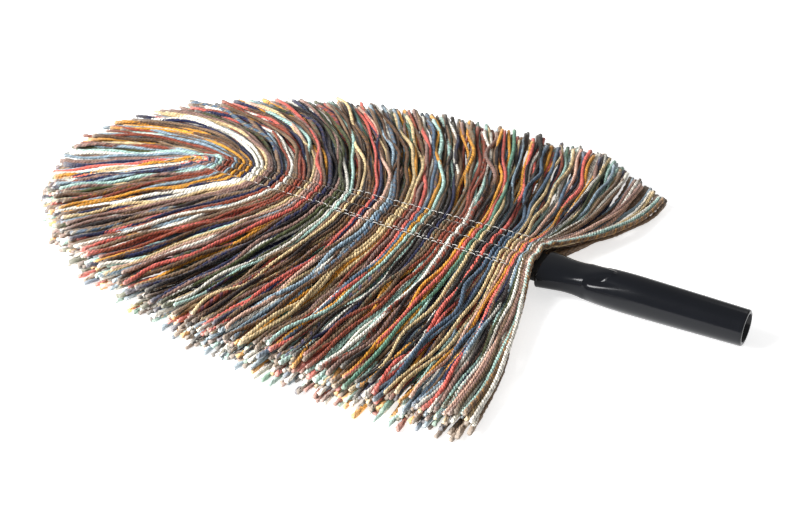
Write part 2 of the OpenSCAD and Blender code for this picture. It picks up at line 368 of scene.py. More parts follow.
def cloth_material():
    """Woven cotton tape: over and under of warp and weft, painted shade in the hollows, faint
    soiling.
    """
    m = Maker("cotton_tape")
    place = m.place((4200.0, 4200.0, 4200.0))
    weave = (m.part(place, 0).sine() * m.part(place, 1).sine()) * 0.5 + 0.5
    dirt = m.noise(m.place(), 60.0, 4.0)
    # painted shade: the weave is darker where its bump is low
    colour = m.mix(weave, (0.40, 0.35, 0.27, 1), (0.66, 0.61, 0.51, 1))
    colour = m.mix((dirt - 0.4).clamp(0.0, 1.0), colour, (0.5, 0.45, 0.37, 1))
    return m.surface({"Base Color": colour, "Roughness": 0.9, "Sheen Weight": 0.2,
                      "Normal": m.bump(weave, 0.0003, 0.8)})


def thread_material(colour):
    """Bonded sewing thread with the two plies' spiral."""
    m = Maker("sewing_thread")
    spiral = (m.part(m.place((1.0, 5200.0, 1.0), "strand"), 1)
              + m.part(m.place((4 * math.pi, 1.0, 1.0), "strand"), 0)).sine()
    soil = m.noise(m.place(), 90.0, 3.0)
    base = m.mix((soil - 0.35).clamp(0.0, 1.0), (*colour, 1), (0.52, 0.5, 0.46, 1))
    return m.surface({"Base Color": base, "Roughness": 0.55, "Sheen Weight": 0.15,
                      "Normal": m.bump(spiral, 0.0002, 0.8)})


def floor_material(colour):
    """Pale matt floor with a trace of unevenness."""
    m = Maker("pale_floor")
    cloud = m.noise(m.place(), 3.0, 2.0)
    base = m.mix(cloud, (*colour, 1), tuple(c * 0.985 for c in colour) + (1,))
    return m.surface({"Base Color": base, "Roughness": 0.85, "Specular IOR Level": 0.1,
                      "Emission Color": (1, 1, 1, 1), "Emission Strength": 0.66})


# ---------------------------------------------------------------- meshes from grids

def new_object(name, points, faces, material, body=None, smooth=True):
    """A mesh object at the origin from arrays of points and of four-sided faces.

    A face whose last two corners are equal is stored as a triangle.
    """
    mesh = bpy.data.meshes.new(name)
    faces = np.asarray(faces)
    triangle = faces[:, 2] == faces[:, 3]
    totals = np.where(triangle, 3, 4)
    starts = np.concatenate([[0], np.cumsum(totals)[:-1]])
    keep = np.ones(faces.shape, bool)
    keep[triangle, 3] = False
    corners = faces[keep]
    mesh.vertices.add(len(points))
    mesh.vertices.foreach_set("co", np.asarray(points, np.float32).ravel())
    mesh.loops.add(len(corners))
    mesh.loops.foreach_set("vertex_index", corners.astype(np.int32))
    mesh.polygons.add(len(faces))
    mesh.polygons.foreach_set("loop_start", starts.astype(np.int32))
    mesh.polygons.foreach_set("use_smooth", np.full(len(faces), smooth))
    mesh.update(calc_edges=True)
    mesh.validate()
    made = bpy.data.objects.new(name, mesh)
    bpy.context.scene.collection.objects.link(made)
    mesh.materials.append(material)
    if body:
        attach(made, body)
    return made


def add_uv(piece, name, corner_uv):
    """Stores a UV map from one row for each face corner."""
    layer = piece.data.uv_layers.new(name=name)
    layer.data.foreach_set("uv", np.asarray(corner_uv, np.float32).ravel())


def tube_faces(rings, sides):
    """Faces of a closed tube: quads between rings, and fans to two pole points.

    Points run ring by ring; the pole points of the first and last ring follow them.
    """
    ring = np.arange(rings - 1)[:, None] * sides
    a = np.arange(sides)[None, :]
    b = (a + 1) % sides
    walls = np.stack([ring + a, ring + b, ring + sides + b, ring + sides + a], -1)
    first, last = rings * sides, rings * sides + 1
    k = np.arange(sides)
    after = (k + 1) % sides
    near = np.stack([after, k, np.full(sides, first), np.full(sides, first)], -1)
    end = (rings - 1) * sides
    far = np.stack([end + k, end + after, np.full(sides, last), np.full(sides, last)], -1)
    return np.concatenate([walls.reshape(-1, 4), near, far])


def tube_uv(rings, sides):
    """Corner UVs of tube_faces: the share of a turn and the share of the length."""
    share = np.linspace(0.004, 0.996, rings)
    k = np.arange(sides)
    turn = np.stack([k, k + 1, k + 1, k], -1) / sides
    run = np.stack([share[:-1], share[:-1], share[1:], share[1:]], -1)
    walls = np.stack(np.broadcast_arrays(turn[None], run[:, None]), -1).reshape(-1, 2)
    fan = np.stack([k + 1, k, k + 0.5], -1) / sides
    near = np.stack(np.broadcast_arrays(fan, [share[0], share[0], 0.0]), -1).reshape(-1, 2)
    fan = np.stack([k, k + 1, k + 0.5], -1) / sides
    far = np.stack(np.broadcast_arrays(fan, [share[-1], share[-1], 1.0]), -1).reshape(-1, 2)
    return np.concatenate([walls, near, far])


def frames_along(path):
    """Unit side and top vectors of paths shaped (strand, point, xyz), from the tangent.

    side = tangent x up, normalised; top = side x tangent.
    """
    tangent = np.gradient(path, axis=1)
    tangent /= np.linalg.norm(tangent, axis=-1, keepdims=True) + 1e-12
    side = np.cross(tangent, [0.0, 0.0, 1.0])
    side /= np.linalg.norm(side, axis=-1, keepdims=True) + 1e-9
    top = np.cross(side, tangent)
    return tangent, side, top


def run_along(path):
    """Distance along each path from its first point."""
    step = np.linalg.norm(np.diff(path, axis=1), axis=-1)
    return np.concatenate([np.zeros((len(path), 1)), np.cumsum(step, axis=1)], axis=1)


def even_steps(path, count):
    """Each path again, with count points at equal distances."""
    run = run_along(path)
    goal = np.linspace(0, 1, count)
    return np.stack([
        np.stack([np.interp(goal * r[-1], r, p[:, axis]) for axis in range(3)], -1)
        for r, p in zip(run, path)])


# ---------------------------------------------------------------- where the yarn lies

class Head:
    """Outline of the head and the lie of its strands, from the frame and the settings."""

    def __init__(self, settings):
        self.settings = settings
        turn = np.linspace(0, math.pi / 2, 800)
        x = CORNER_X - (CORNER_X - NOSE_X) * np.sin(turn) ** (2 / settings.side_fullness)
        y = HALF_WIDTH * np.maximum(0, 1 - ((CORNER_X - x) / (CORNER_X - NOSE_X))
                                    ** settings.side_fullness) ** (1 / settings.nose_squareness)
        points = np.stack([x, y], -1)
        both = np.concatenate([points, (points * [1, -1])[::-1][1:]])
        run = np.concatenate([[0], np.cumsum(np.linalg.norm(np.diff(both, axis=0), axis=1))])
        self.edge_run = 2 * run / run[-1]
        self.edge = both

    def edge_at(self, q):
        """Point of the edge at q: 0 is the far rear corner, 1 the nose, 2 the near corner."""
        q = np.clip(q, 0, 2)
        return np.stack([np.interp(q, self.edge_run, self.edge[:, 0]),
                         np.interp(q, self.edge_run, self.edge[:, 1])], -1)

    def seam_offset(self, x):
        """Distance of the side seams from the spine at x, from the frame's seam."""
        share = (x - SIDE_SEAM_LOW.x) / (SIDE_SEAM_HIGH.x - SIDE_SEAM_LOW.x)
        return SIDE_SEAM_LOW.y + (SIDE_SEAM_HIGH.y - SIDE_SEAM_LOW.y) * np.clip(share, 0, 1)

    def band_top(self, away, x):
        """Height of the yarn over the spine at a distance away from it.

        Two humps |sin(pi away / seam)| between the seams, and a lower one outside them.
        """
        seam = self.seam_offset(x)
        inside = np.abs(np.sin(np.pi * np.clip(away / seam, 0, 1))) ** 0.8
        out = np.clip((away - seam) / (14 * MM), 0, 1)
        outside = np.sin(np.pi * out) ** 2 * 0.55
        front = np.clip((x - SPINE_FRONT) / (30 * MM), 0, 1)
        return BAND_Z - 0.6 * MM + self.settings.hump * (inside + outside) * (0.35 + 0.65 * front)


def smooth(t):
    """3 t^2 - 2 t^3 between 0 and 1."""
    t = np.clip(t, 0, 1)
    return t * t * (3 - 2 * t)


def spread_far(u):
    """Place on the edge, from the far rear corner, of the strand rooted at share u."""
    return 0.10 * (1 - np.exp(-u / 0.045)) + 0.87 * u + 0.16 * u ** 5


def spread_near(u):
    """Place on the edge, from the near rear corner, of the strand rooted at share u."""
    return 0.05 * (1 - np.exp(-u / 0.04)) + 0.71 * u + 0.11 * smooth((u - 0.5) / 0.3)


def heading(degrees):
    """Unit vector in plan at an angle in degrees."""
    angle = np.radians(degrees)
    return np.stack([np.cos(angle), np.sin(angle)], -1)


LAYERS = 7                    # layers of strands, from the top one to the lowest
UPPER_LAYERS = 3              # layers that lie over the pocket
TOP_LAYERS = 2                # layers that have loose fibres and run on over the plug
HALF_POINTS = 120             # points on each half of a path
LOWER_THICKNESS = 1.2         # radius of a lower strand over that of an upper one
CLEARANCE = 1.02              # height of a strand that lies on the floor, in radii
OVERHANG = 12 * MM            # how far the top layers run past the spine's rear end
LOWER_OVERHANG = 6 * MM       # the same for the layers under the pocket
BAND_REACH = 16 * MM          # distance from the spine at which the yarn starts to fall
FALL_REACH = 45 * MM          # distance over which most of its fall happens
FAR_EDGE = 0.86               # height of the far edge over that of the near one
LAYER_DROP = 2.1 * MM         # how much lower each upper layer crosses the spine
MOST_DROP = 3.1 * MM
MOUTH_LIFT = 3.4 * MM         # how much the top layers rise over the plug
UNDER_GAP = 1.3 * MM          # space between the pocket and the lower yarn
UNDER_STEP = 3 * MM           # space from one lower layer to the next
REAR_FAN = 0.045              # share of the spine from which the rear corners fan out
FAR_SWING = (20 * MM, -46 * MM)    # how far the ends at the far rear corner are moved
NEAR_SWING = (4 * MM, 7 * MM)      # the same at the near rear corner


def edge_tips(head, q, root, length_noise, far):
    """Cut end of each strand: its place on the edge, swung at the rear corner, then stretched.

    Two bulges, exp(-((q - place) / width)^2), fill the near side and draw in the nose.
    """
    if far:
        swing, move = np.clip(1 - q / 0.08, 0, 1), FAR_SWING
    else:
        swing, move = np.clip((q - 1.93) / 0.07, 0, 1), NEAR_SWING
    chord = head.edge_at(q) + swing[:, None] * np.array(move) - root
    reach = np.linalg.norm(chord, axis=-1, keepdims=True)
    bulge = 8 * MM * np.exp(-((q - 1.24) / 0.16) ** 2) - 3 * MM * np.exp(-((q - 0.9) / 0.1) ** 2)
    return root + chord * (1 + length_noise[:, None] + bulge[:, None] / reach)


def plan_handles(u, chord_angle, far):
    """Headings in degrees at the spine and at the edge, and the lengths of both handles.

    u is the root's share of the spine from the rear. The first handle's length is in metres,
    and the last one's is a share of the strand's reach.
    """
    rear = np.exp(-u / REAR_FAN)
    if far:
        first = 94 + 24 * smooth(u / 0.75) - 34 * rear
        last = (chord_angle + 22 * rear + 17 * smooth(u / 0.4) + 24 * smooth((u - 0.45) / 0.3)
                - 38 * smooth((u - 0.86) / 0.14))
        first_run = (12 + 40 * (1 - smooth((u - 0.70) / 0.28))) * MM
        last_run = 0.36 + 0.2 * smooth((u - 0.55) / 0.3)
    else:
        first = 272 - 8 * smooth(u / 0.5) - 60 * smooth((u - 0.55) / 0.4) + 14 * rear
        last = chord_angle - 5 + 11 * smooth((u - 0.6) / 0.25) - 6 * rear
        first_run = (16 + 26 * (1 - smooth((u - 0.35) / 0.6))) * MM
        last_run = np.full_like(u, 0.4)
    return first, last, first_run, last_run


def strand_heights(head, away, root_x, layer, far):
    """Height of each strand's points, at their distance away from the spine.

    An upper strand follows the yarn's top surface, less its layer's drop, and a lower one
    starts under the pocket. Both blend into their layer's share of the height at the edge.
    """
    s = head.settings
    top = head.band_top(away, root_x[:, None])
    edge = s.edge_height * (FAR_EDGE if far else 1.0)
    past = away - BAND_REACH
    fall = 0.45 * smooth(past / past[:, -1:]) + 0.55 * (
        1 - np.exp(-np.clip(past, 0, 1) / FALL_REACH))
    outer = top + (edge - top) * np.clip(fall, 0, 1) - s.strand_radius
    floor = s.strand_radius * CLEARANCE
    depth = layer / (LAYERS - 1.0)
    at_edge = outer + (floor - outer) * depth[:, None]
    upper = layer < UPPER_LAYERS
    drop = np.where(upper, np.minimum(layer * LAYER_DROP, MOST_DROP), 0.0)
    lift = MOUTH_LIFT * smooth((root_x - SPINE_REAR + 2 * MM) / (5 * MM)) * (layer < TOP_LAYERS)
    under = POCKET_BOTTOM - UNDER_GAP - s.strand_radius - (layer - UPPER_LAYERS) * UNDER_STEP
    at_band = np.where(upper[:, None], outer + (lift - drop)[:, None],
                       np.maximum(under, floor)[:, None])
    leave = smooth((away - 20 * MM) / (55 * MM))
    return np.maximum(at_band + (at_edge - at_band) * leave, floor)


def half_paths(head, u, q_noise, length_noise, side, layer):
    """Paths of one half of each strand, from the spine to its cut end.

    The plan crosses half of the sewn band, and goes on as a cubic curve: it leaves the band
    with a first heading, and reaches the edge with a last one.
    """
    far = side > 0
    over = np.where(layer < TOP_LAYERS, OVERHANG,
                    np.where(layer < UPPER_LAYERS, 0.0, LOWER_OVERHANG))
    root_x = SPINE_REAR + over + (SPINE_FRONT - SPINE_REAR - over) * u
    root = np.stack([root_x, np.zeros_like(root_x)], -1)
    q = (spread_far(u) if far else 2 - spread_near(u)) + q_noise
    tip = edge_tips(head, q, root, length_noise, far)
    chord = tip - root
    reach = np.linalg.norm(chord, axis=-1, keepdims=True)
    chord_angle = np.degrees(np.arctan2(chord[:, 1], chord[:, 0])) % 360
    first, last, first_run, last_run = plan_handles(u, chord_angle, far)
    first = first + 5 * np.sin(91 * u + 2.3 * layer)
    crossing = 0.85 * (1 - 0.85 * smooth((u - 0.93) / 0.07)) * head.seam_offset(root_x)
    start = root + np.stack([0 * root_x, side * crossing], -1)
    p0 = start[:, None]
    p1 = (start + heading(first) * first_run[:, None])[:, None]
    p2 = (tip - heading(last) * reach * last_run[:, None])[:, None]
    p3 = tip[:, None]
    t = np.linspace(0, 1, HALF_POINTS)[None, :, None]
    curve = ((1 - t) ** 3 * p0 + 3 * (1 - t) ** 2 * t * p1
             + 3 * (1 - t) * t ** 2 * p2 + t ** 3 * p3)
    across = root[:, None] + (p0 - root[:, None]) * np.linspace(0, 0.9, 8)[None, :, None]
    plan = np.concatenate([across, curve], 1)
    plan = np.concatenate([plan, 0 * plan[..., :1]], -1)
    path = rounded(even_steps(plan, HALF_POINTS))
    path[..., 2] = strand_heights(head, run_along(path), root_x, layer, far)
    return path


def rounded(path, reach=3):
    """Each path with its bends rounded: every point is the mean of its neighbours."""
    ends = [np.repeat(path[:, :1], reach, 1), path, np.repeat(path[:, -1:], reach, 1)]
    wide = np.concatenate(ends, 1)
    count = path.shape[1]
    soft = sum(wide[:, k:k + count] for k in range(2 * reach + 1)) / (2 * reach + 1)
    soft[:, 0], soft[:, -1] = path[:, 0], path[:, -1]
    return soft


def drift(rng, u, share, waves, size):
    """Smooth random field over the roots and along the strands: a sum of plane sines.

    waves holds pairs of the most waves along the spine and along a strand.
    """
    total = np.zeros((len(u), len(share)))
    for along_spine, along_strand in waves:
        f = rng.uniform(0.45, 1.0) * along_spine
        g = rng.uniform(0.35, 1.0) * along_strand * rng.choice([-1, 1])
        phase = rng.uniform(0, 2 * np.pi)
        total += np.sin(2 * np.pi * (f * u[:, None] + g * share[None]) + phase)
    return size * total / np.sqrt(len(waves) / 2)


def jitter(rng, strands, share, waves, size):
    """Smooth random drift of each strand by itself: a few sines of random size and phase."""
    number = np.arange(1, waves + 1)[None, None, :]
    phase = rng.uniform(0, 2 * np.pi, (strands, 1, waves))
    scale = rng.normal(0, 1, (strands, 1, waves)) / number ** 0.7
    return size * (np.sin(2 * np.pi * number * share[None, :, None] / 2 + phase)
                   * scale).sum(-1)


GOLDEN = 0.618034            # step from one strand's dye to the next
ROOT_GAP = 0.0033            # least space between two roots, as a share of the spine
LAYER_STEP = 0.0045          # how much further in each layer starts, as a share of the spine
NOSE_EXTRAS = 8              # more strands, close together at the nose
REAR_EXTRAS = 10             # more upper strands, close together at the rear
LOWER_REAR_EXTRAS = 2
BUNDLES = (0.85, 0.14, 0.01)      # shares of single, double and triple strands of one dye
SHORTEST = -0.06             # limits of a strand's uneven length, as shares of its length
LONGEST = 0.045
REAR_LONGEST = 0.015
HALF_GROWTH = {-1: 0.011, 1: 0.006}    # how much each layer outgrows the last, near and far


def strand_roots(settings, layer, rng):
    """Roots of one layer's strands, as sorted shares of the spine from its rear."""
    upper = layer < UPPER_LAYERS
    count = settings.strands
    u = (np.arange(count) + 0.5 * (layer % 2) + rng.uniform(-0.2, 0.2, count)) / count
    u = np.concatenate([u, np.linspace(0.972, 0.999, NOSE_EXTRAS)
                        + rng.uniform(-2e-3, 2e-3, NOSE_EXTRAS),
                        np.linspace(0.002, 0.045, REAR_EXTRAS if upper else LOWER_REAR_EXTRAS)])
    order = ROOT_GAP * np.arange(len(u))
    step_in = LAYER_STEP * (layer % 2 if upper else layer - UPPER_LAYERS)
    return np.clip(np.sort(u), 0.0005 + step_in + order, 0.9995 - order[::-1])


def strand_dyes(layer, n, rng):
    """Bundle number, dye and marl of each of a layer's n strands.

    Golden steps through the dyes' shares keep neighbours unlike; a quarter is drawn freely.
    A dull dye may be marled: its first ply is mixed with another dye, brought to its level.
    """
    shares = np.cumsum([d[0] for d in DYES]) / sum(d[0] for d in DYES)
    colours = np.array([linear(d[1:]) for d in DYES])
    bundle = np.repeat(np.arange(n), rng.choice([1, 2, 3], n, p=BUNDLES))[:n]
    turn = np.arange(n) * GOLDEN + 0.3 * layer + rng.normal(0, 0.045, n)
    turn = np.where(rng.random(n) < 0.25, rng.random(n), turn)
    dye = np.searchsorted(shares, turn % 1)[np.searchsorted(bundle, bundle)]
    if layer >= UPPER_LAYERS:
        dye[:3] = 0
    colour = colours[dye]
    other = colours[rng.permutation(len(DYES))[rng.integers(0, 6, n)]]
    dull = np.ptp(colour, axis=1) + colour.mean(1) < 0.45
    mixed = np.where((rng.random(n) < 0.45) & dull, rng.uniform(0.3, 0.7, n), 0.0)[:, None]
    other = other * (colour.mean(1) / other.mean(1))[:, None] ** 0.75
    return bundle, colour, colour * (1 - mixed) + other * mixed


def wander(path, u, layer, settings, rng):
    """The paths pushed aside and lifted by smooth random fields, outside the sewn band."""
    n, points = path.shape[:2]
    upper = layer < UPPER_LAYERS
    share = np.linspace(-1, 1, points)
    loose = smooth((np.abs(share) - 0.1) / 0.3)[None]
    stray = np.where((rng.random(n) < 0.07) & (u > 0.05), 2.4, 1.0)[:, None]
    held = (0.25 + 0.75 * smooth(u / 0.06))[:, None]
    calm = 1 - 0.45 * smooth((u - 0.7) / 0.3)[:, None]
    push = drift(rng, u, share, [(7, 1.2), (11, 1.6), (18, 2.4), (26, 3.0)],
                 settings.sway) * calm
    push += jitter(rng, n, share, 7, 0.95 * MM) * stray
    rise = drift(rng, u, share, [(16, 1.5), (30, 2.5), (38, 3.5)],
                 (1.1 if upper else 0.5) * MM)
    rise += jitter(rng, n, share, 6, (0.75 if upper else 0.4) * MM)
    rise += (stray - 1) * 0.9 * MM
    sideways = frames_along(path)[1]
    path = path + sideways * (push * loose * held)[..., None]
    path[..., 2] = np.maximum(path[..., 2] + rise * loose, settings.strand_radius * CLEARANCE)
    return path


def lay_strands(settings):
    """Every strand of the head: its layer, its path, its dye, its marl and its radius.

    Neighbours wander together, so they part and bunch; a few strays lie across the others.
    """
    rng = np.random.default_rng(settings.seed)
    head = Head(settings)
    sets = []
    for layer in range(LAYERS):
        u = strand_roots(settings, layer, rng)
        n = len(u)
        bundle, colour, marl = strand_dyes(layer, n, rng)
        level = np.full(n, float(layer))
        longest = np.where(u < 0.06, REAR_LONGEST, LONGEST)
        halves = []
        for side, growth in HALF_GROWTH.items():
            q_noise = rng.normal(0, 0.006, n) + rng.normal(0, 0.005, n)[bundle]
            length = (rng.normal(0, settings.uneven, n)
                      + rng.normal(0, settings.uneven * 0.6, n)[bundle])
            length = np.clip(length, SHORTEST, longest) + growth * (layer - 2)
            halves.append(half_paths(head, u, q_noise, length, side, level))
        path = np.concatenate([halves[0][:, ::-1], halves[1][:, 1:]], axis=1)
        path = wander(path, u, layer, settings, rng)
        thickness = settings.strand_radius * (1.0 if layer < UPPER_LAYERS else LOWER_THICKNESS)
        sets.append({"layer": level, "path": path,
                     "dye": colour * rng.uniform(0.84, 1.14, (n, 1)), "marl": marl,
                     "radius": thickness * rng.uniform(0.84, 1.12, n)})
    return {key: np.concatenate([one[key] for one in sets]) for key in sets[0]}


PLIES = 3
PLY_SIDES = 9                 # sides of a strand whose three plies are modelled
FINE_SIDES = 6                # sides from which a strand's end is modelled closely
NO_TWIST = 1e9                # twist pitch of a plain tube


def ply_section(sides):
    """Angle, size and height between the plies of each side of a strand's section.

    Nine sides follow three round plies: a valley point and two crest points for each.
    """
    if sides != PLY_SIDES:
        return np.arange(sides) * 2 * np.pi / sides, np.full(sides, 0.93), np.full(sides, 0.75)
    third = 2 * np.pi / PLIES
    angle = (np.arange(PLIES)[:, None] * third + np.radians([-60, -22, 22])[None]).ravel()
    return angle, np.tile([0.84, 1.0, 1.0], PLIES), np.tile([0.0, 1.0, 1.0], PLIES)


def strand_mesh(strands, pick, rings, sides, twist_pitch):
    """Points, faces, UVs and point values of the picked strands as twisted tubes.

    point = path + radius * section * (cos(a) side + sin(a) top), a = section angle + twist.
    The tubes flare towards their ends, where the plies part; coarse ones twist more slowly.
    """
    path = even_steps(strands["path"][pick], rings)
    run = run_along(path)
    tangent, side, top = frames_along(path)
    angle, size, ply = ply_section(sides)
    n = len(path)
    fine = sides >= FINE_SIDES
    end = np.minimum(run, run[:, -1:] - run)
    rng = np.random.default_rng(n * rings)
    share = np.linspace(-1, 1, rings)
    flare = (0.24 if fine else 0.5) * np.exp(-end / (5 * MM))
    radius = strands["radius"][pick][:, None] * (1 + jitter(rng, n, share, 24, 0.055) + flare)
    radius[:, [0, -1]] *= 0.75
    pitch = np.maximum(twist_pitch, 6 * run[:, -1:] / rings)
    turn = run / pitch * 2 * np.pi + jitter(rng, n, share, 5, 1.2)
    a = angle[None, None] + turn[..., None]
    split = 0.16 * np.exp(-end / (4 * MM))[..., None] * (1 - ply)
    rough = 1 + rng.normal(0, 0.085, (n, rings, sides))
    scale = (radius[..., None] * (size - split) * rough)[..., None]
    points = path[:, :, None] + scale * (np.cos(a)[..., None] * side[:, :, None]
                                         + np.sin(a)[..., None] * top[:, :, None])
    poles = np.stack([path[:, 0] - tangent[:, 0] * 0.5 * MM,
                      path[:, -1] + tangent[:, -1] * 0.5 * MM], 1)
    points = np.concatenate([points.reshape(n, -1, 3), poles], 1).reshape(-1, 3)
    points[:, 2] = np.maximum(points[:, 2], LOWEST)
    number = np.arange(n)[:, None]
    faces = tube_faces(rings, sides)[None] + number[..., None] * (rings * sides + 2)
    flat = tube_uv(rings, sides)[None]
    along = np.broadcast_to(flat[..., 1], (n, flat.shape[1]))
    lane = (number + 0.08 + 0.84 * flat[..., 0]) / n
    tone = rng.uniform(0.78, 1.2, (n, PLIES, 1)) * strands["dye"][pick][:, None]
    if sides == PLY_SIDES:
        tone[:, 0] = strands["marl"][pick] * rng.uniform(0.7, 1.2, (n, 1))
    tone = np.repeat(tone, -(-sides // PLIES), axis=1)[:, :sides]
    tone = np.broadcast_to(tone[:, None], (n, rings, sides, 3)).reshape(n, -1, 3)
    # nearness to the cut end, where the wool is painted paler: fluffed fibres and painted light
    fray_and_painted_light = np.exp(-end / ((7 if fine else 14) * MM))
    return {"points": points, "faces": faces.reshape(-1, 4),
            "bake": np.stack([lane, along], -1).reshape(-1, 2),
            "real": np.stack([flat[..., 0] + number * 3.7, along * run[:, -1:]], -1).reshape(-1, 2),
            # ply is 0 in the grooves and 1 on the crests; the wool paints its groove shade from it
            "ply": np.tile(np.concatenate([np.tile(ply, rings), [0.5, 0.5]]), n),
            "fray_and_painted_light": np.concatenate([np.repeat(fray_and_painted_light, sides, axis=1), np.ones((n, 2))], 1).ravel(),
            "dye": np.concatenate([tone, np.repeat(strands["dye"][pick][:, None], 2, 1)],
                                  1).reshape(-1, 3)}


def fuzz_mesh(strands, pick, settings, seed):
    """Loose fibres of the picked strands: three-sided spikes that leave the wool at a slant.

    root = path + 0.7 radius out; middle = root + length (0.5 along + 0.12 to 0.42 out);
    tip = middle + length (0.42 along + a random drift). One in eight starts at a cut end.
    """
    rng = np.random.default_rng(settings.seed + 100 + seed)
    path = strands["path"][pick]
    steps = path.shape[1]
    total = len(path) * settings.fibres
    tangent, side, top = frames_along(path)
    who = np.repeat(np.arange(len(path)), settings.fibres)
    at = rng.integers(2, steps - 2, total)
    ends = rng.random(total) < 0.12
    at = np.where(ends, np.where(rng.random(total) < 0.5, rng.integers(0, 4, total),
                                 rng.integers(steps - 4, steps, total)), at)
    turn = rng.uniform(0, 2 * np.pi, total)[:, None]
    out = np.cos(turn) * side[who, at] + np.sin(turn) * top[who, at]
    way = np.where(ends, np.where(at > steps / 2, 1, -1), rng.choice([-1, 1], total))[:, None]
    along = tangent[who, at] * way
    length = rng.uniform(2.5, 7.0, total)[:, None] * MM
    root = path[who, at] + out * strands["radius"][pick][who][:, None] * 0.7
    middle = root + length * (0.5 * along + rng.uniform(0.12, 0.42, (total, 1)) * out)
    tip = middle + length * (0.42 * along + 0.16 * rng.normal(0, 1, (total, 3)))
    corner = (np.arange(3) * 2 * np.pi / 3)[None, :, None]
    ring = settings.fibre_radius * (np.cos(corner) * out[:, None]
                                    + np.sin(corner) * np.cross(along, out)[:, None])
    points = np.concatenate([root[:, None] + ring, middle[:, None] + 0.8 * ring,
                             tip[:, None]], 1)
    points[..., 2] = np.maximum(points[..., 2], LOWEST_FIBRE)
    each = points.shape[1]
    one = np.array([[0, 1, 4, 3], [1, 2, 5, 4], [2, 0, 3, 5], [3, 4, 6, 6], [4, 5, 6, 6],
                    [5, 3, 6, 6], [0, 2, 1, 1]])
    corners = 3 * 4 + 4 * 3
    faces = one[None] + (np.arange(total) * each)[:, None, None]
    lane = (np.arange(total) + 0.5)[:, None] / total
    bake = np.stack([np.repeat(lane, corners, 1), np.full((total, corners), 0.5)], -1)
    level = np.full(total * each, 0.8)
    return {"points": points.reshape(-1, 3), "faces": faces.reshape(-1, 4),
            "bake": bake.reshape(-1, 2), "real": bake.reshape(-1, 2) * 3.0,
            # loose fibres take a little of the same paleness: fluff and painted light
            "ply": level, "fray_and_painted_light": level * 0.4,
            "dye": np.repeat(strands["dye"][pick][who], each, axis=0)}


def joined(parts):
    """Several strand meshes as one; bake lanes share the unit square by their strands."""
    total = sum(len(p["points"]) for p in parts)
    result = {key: [] for key in parts[0]}
    offset, left = 0, 0.0
    for p in parts:
        width = len(p["points"]) / total
        result["faces"].append(p["faces"] + offset)
        result["bake"].append(p["bake"] * [width, 1] + [left, 0])
        for key in ("points", "real", "ply", "fray_and_painted_light", "dye"):
            result[key].append(p[key])
        offset += len(p["points"])
        left += width
    return {key: np.concatenate(value) for key, value in result.items()}


def yarn_piece(name, mesh, material, node):
    """A yarn piece with its lanes, its strand map and its dye, ply and fray values; the paler ends
    are partly painted light.
    """
    piece = new_object(name, mesh["points"], mesh["faces"], material, "head")
    add_uv(piece, "OFBake", mesh["bake"])
    add_uv(piece, "strand", mesh["real"])
    for key in ("ply", "fray_and_painted_light"):
        piece.data.attributes.new(key, "FLOAT", "POINT").data.foreach_set(
            "value", mesh[key].astype(np.float32))
    colour = np.concatenate([mesh["dye"], np.ones((len(mesh["dye"]), 1))], 1)
    piece.data.attributes.new("dye", "FLOAT_COLOR", "POINT").data.foreach_set(
        "color", colour.astype(np.float32).ravel())
    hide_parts(node)


# Rings and sides of a strand in each layer, from the top layer to the lowest
DETAIL = [(280, 9), (220, 9), (150, 6), (70, 5), (70, 5), (70, 5), (80, 5)]


def build_yarn(upper, material):
    """One piece for each hank: the strands are shared out evenly from the rear to the nose."""
    settings = bpy.context.scene.duster_yarn
    strands = lay_strands(settings)
    names = UPPER_HANKS if upper else LOWER_HANKS
    layers = range(UPPER_LAYERS) if upper else range(UPPER_LAYERS, LAYERS)
    shares = [np.array_split(np.flatnonzero(strands["layer"] == layer), len(names))
              for layer in layers]
    for number, name in enumerate(names):
        parts = []
        for layer, share in zip(layers, shares):
            rings, sides = DETAIL[layer]
            parts.append(strand_mesh(strands, share[number], rings, sides,
                                     settings.twist_pitch))
            if layer < TOP_LAYERS:
                parts.append(fuzz_mesh(strands, share[number], settings, layer + number))
        yarn_piece(name.replace("hank", "yarn"), joined(parts), material, name)


# ---------------------------------------------------------------- the other pieces

def revolve_grid(sections):
    """Points and faces of a closed skin over rings of equal count, with a pole at each end."""
    rings, sides = sections.shape[:2]
    points = sections.reshape(-1, 3)
    poles = np.stack([sections[0].mean(0), sections[-1].mean(0)])
    return np.concatenate([points, poles]), tube_faces(rings, sides)


def soft_max(a, b, sharp):
    """log(exp(a k) + exp(b k)) / k, a rounded maximum."""
    top = np.maximum(a, b)
    return top + np.log(np.exp((a - top) * sharp) + np.exp((b - top) * sharp)) / sharp


def super_ellipse(angle, wide, tall, square):
    """(|cos a / wide|^n + |sin a / tall|^n)^(-1/n): an ellipse at n = 2, squarer above it."""
    return 1 / ((np.abs(np.cos(angle)) / wide) ** square
                + (np.abs(np.sin(angle)) / tall) ** square) ** (1 / square)


END_RADIUS = 15.5 * MM        # outside of the socket at its open end
WAIST_CUT = 12.2 * MM         # how much thinner than full the barrel starts
SWELL_REACH = 9 * MM          # distance over which it swells to full
TOP_DELAY = 19 * MM           # how much later it swells on top than at the sides
MOUTH_PINCH = 7.2 * MM        # how much the tongue narrows, on each side, up to the waist
RIDGE = 5.2 * MM              # how much the tongue rises before it runs out on the barrel
ROUNDING = 0.9 * MM           # rounding where the tongue meets the barrel
RIM = 1.5 * MM                # rounding of the outer rims
SEAT_GAP = 0.1 * MM           # space round the plug in its seat


